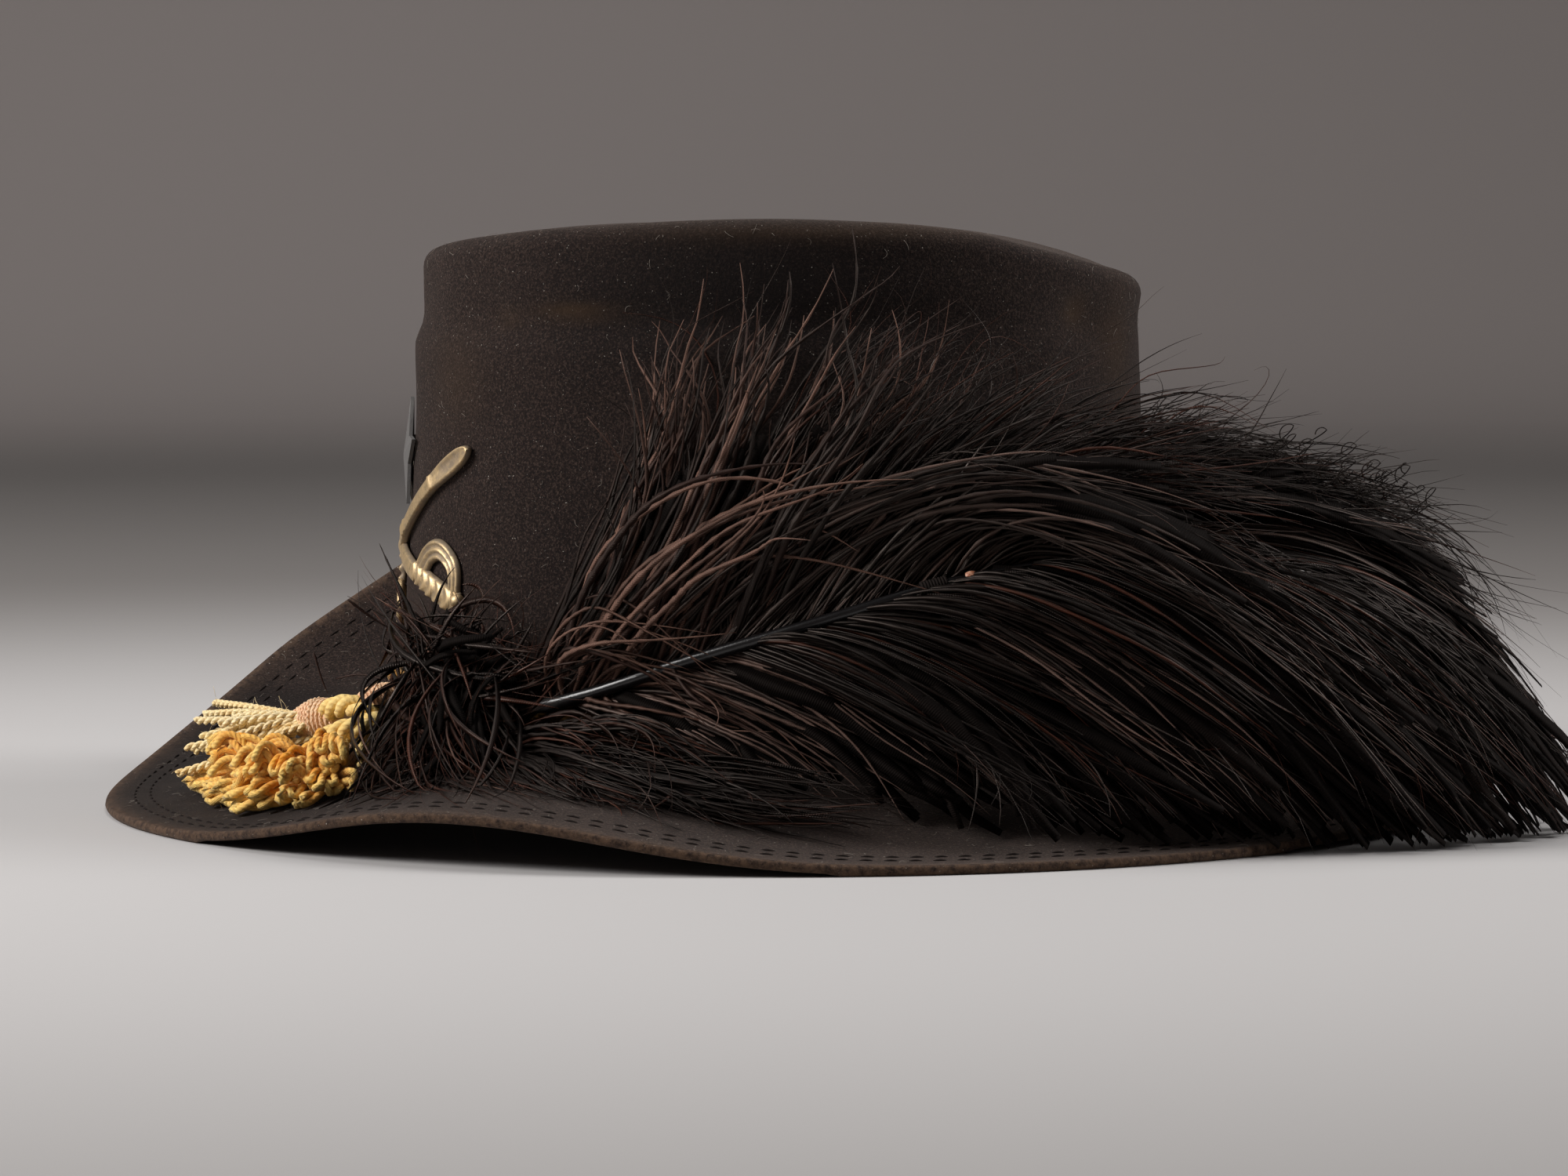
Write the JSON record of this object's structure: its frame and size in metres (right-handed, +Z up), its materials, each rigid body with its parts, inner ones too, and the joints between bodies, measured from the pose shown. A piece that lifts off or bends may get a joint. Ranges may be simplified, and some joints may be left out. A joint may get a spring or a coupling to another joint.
{
  "type": "hardee hat",
  "caption": "Tall-crowned felt dress hat with one side of the brim looped up, a hat cord with tassels, crossed sabres on the front and an ostrich plume.",
  "frame": {"origin": "middle of the hat's box, on the surface that the brim rests on", "axes": "-X to the front of the hat, -Y to the wearer's left, where the plume is, +Z up"},
  "size_m": [0.401, 0.2926, 0.1614],
  "materials": {
    "felt": "worn dark brown-black fur felt, dusty, browned at the edges",
    "worsted": "twisted yellow worsted yarn, faded and pinkish in places",
    "brass": "stamped brass, dark in the recesses and rubbed bright on the edges",
    "pewter": "dull grey pewter",
    "quill_horn": "glossy black feather shaft, pale at its lower end",
    "thread": "dark waxed thread",
    "feather": "dark brown-black ostrich barbs, reddish where they are worn"
  },
  "bodies": {
    "root": {"felt_body": "felt", "hat_cord_lower": "worsted", "hat_cord_upper": "worsted", "cord_slide": "worsted", "tassel_upper": "worsted", "tassel_lower": "worsted", "crossed_sabres": "brass", "crown_star": "pewter", "plume_quill": "quill_horn", "quill_tie": "thread", "plume_front": "feather", "plume_rear": "feather", "plume_under": "feather", "plume_tuft": "feather", "brim_clip": "brass"}
  },
  "joints": []
}
